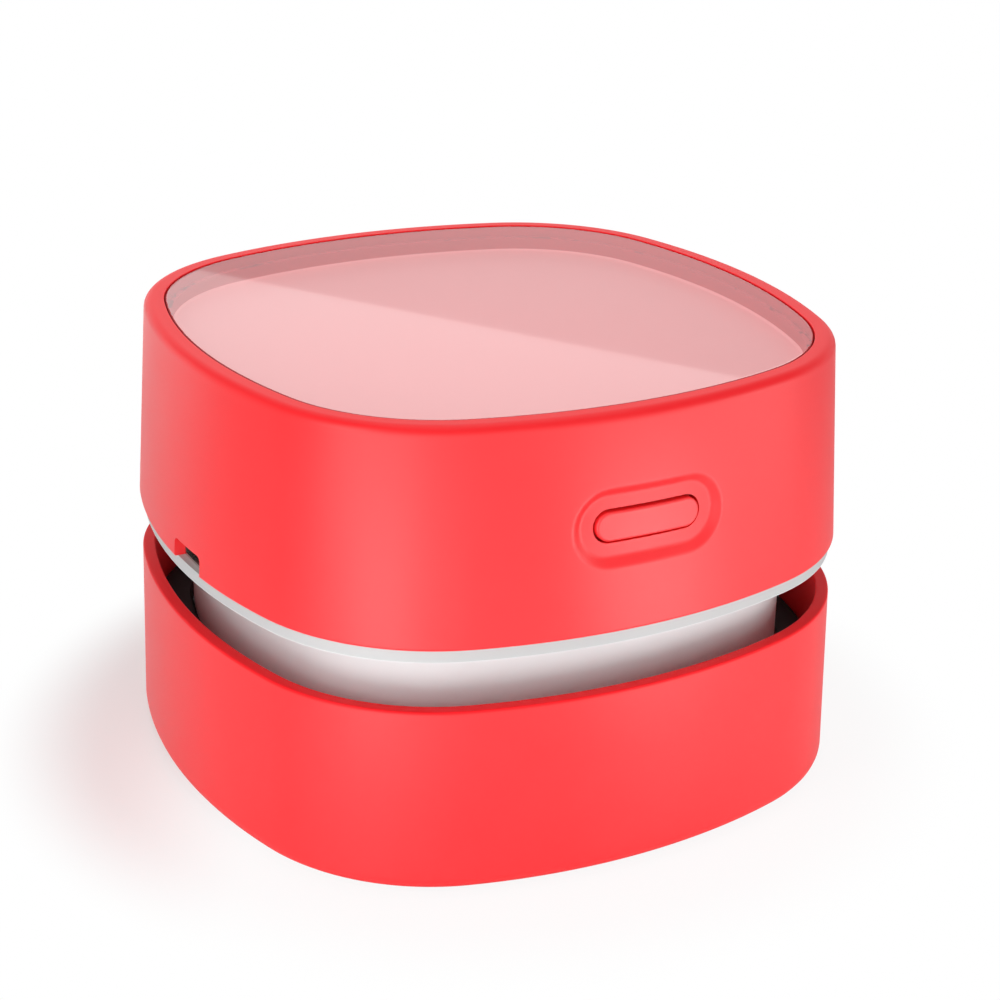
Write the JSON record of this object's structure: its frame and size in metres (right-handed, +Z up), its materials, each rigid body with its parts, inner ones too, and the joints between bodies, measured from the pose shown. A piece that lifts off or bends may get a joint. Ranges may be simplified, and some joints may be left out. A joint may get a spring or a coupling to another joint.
{
  "type": "desktop mini vacuum cleaner",
  "caption": "Handheld cordless desk vacuum with a rounded-square body: its head, with a clear top window, push button and charging socket, stands in a lift-off dust cup over a brushed inlet.",
  "frame": {"origin": "centre of the footprint, on the table", "axes": "+Z up through the window, -Y towards the power button, -X towards the charging socket"},
  "size_m": [0.085, 0.085, 0.0575],
  "materials": {
    "red_shell": "satin moulded ABS, very fine texture",
    "red_button": "satin moulded ABS",
    "clear_window": "clear acrylic, polished",
    "pink_tray": "satin moulded plastic",
    "white_frame": "satin moulded ABS",
    "black_rubber": "matt moulded rubber",
    "black_foam": "closed-cell foam tape",
    "clear_silicone": "translucent silicone",
    "black_plastic": "fine moulded texture",
    "black_bristle": "nylon filaments",
    "zinc_steel": "bright zinc plate",
    "polished_steel": "ground",
    "white_fan": "moulded",
    "ferrite": "sintered",
    "carbon": "pressed graphite",
    "nickel_tab": "nickel plate",
    "copper_winding": "enamelled copper",
    "cell_sleeve": "shrink sleeve over a can",
    "green_board": "solder mask",
    "chip_black": "moulded epoxy",
    "lead_sleeve": "vinyl insulation",
    "nylon_mesh": "woven nylon",
    "grey_sponge": "open-cell sponge"
  },
  "bodies": {
    "dust_bin": {"dust_cup": "red_shell", "brush_chamber": "red_shell", "glide_feet": "clear_silicone", "brush_ring": "black_plastic", "bristle_tufts": "black_bristle", "brush_screws": "zinc_steel"},
    "head": {"upper_housing": "red_shell", "top_window": "clear_window", "display_tray": "pink_tray", "core_frame": "white_frame", "seal_ring": "black_rubber", "housing_screws": "zinc_steel", "fan_cover": "white_frame", "cover_screws": "zinc_steel", "motor_damper": "black_rubber", "motor_can": "zinc_steel", "motor_end_cap": "black_plastic", "motor_magnets": "ferrite", "motor_brushes": "carbon", "motor_terminals": "nickel_tab", "motor_screws": "zinc_steel", "battery_cell": "cell_sleeve", "battery_pad": "black_foam", "battery_tabs": "nickel_tab", "usb_shell": "nickel_tab", "usb_tongue": "black_plastic", "charge_board": "green_board", "board_coil": "ferrite", "board_chips": "chip_black", "board_screws": "zinc_steel", "switch_body": "black_plastic", "switch_board": "green_board", "switch_screws": "zinc_steel", "motor_leads": "lead_sleeve", "battery_leads": "lead_sleeve", "switch_leads": "lead_sleeve"},
    "rotor": {"motor_shaft": "polished_steel", "fan_impeller": "white_fan", "motor_armature": "copper_winding", "commutator": "copper_winding"},
    "button": {"power_button": "red_button", "switch_plunger": "white_frame"},
    "filter_cartridge": {"filter_frame": "white_frame", "filter_mesh": "nylon_mesh", "filter_sponge": "grey_sponge"}
  },
  "joints": [
    {"name": "head_lift", "type": "slide", "parent": "dust_bin", "child": "head", "axis": [0, 0, 1], "range_m": [0, 0.03]},
    {"name": "fan_spin", "type": "hinge", "parent": "head", "child": "rotor", "pos_m": [0, 0, 0.04], "axis": [0, 0, 1], "continuous": true},
    {"name": "button_press", "type": "slide", "parent": "head", "child": "button", "axis": [0, 1, 0], "range_m": [0, 0.0012], "stiffness_N_per_m": 1200},
    {"name": "filter_pull", "type": "slide", "parent": "head", "child": "filter_cartridge", "axis": [0, 0, -1], "range_m": [0, 0.004]}
  ]
}
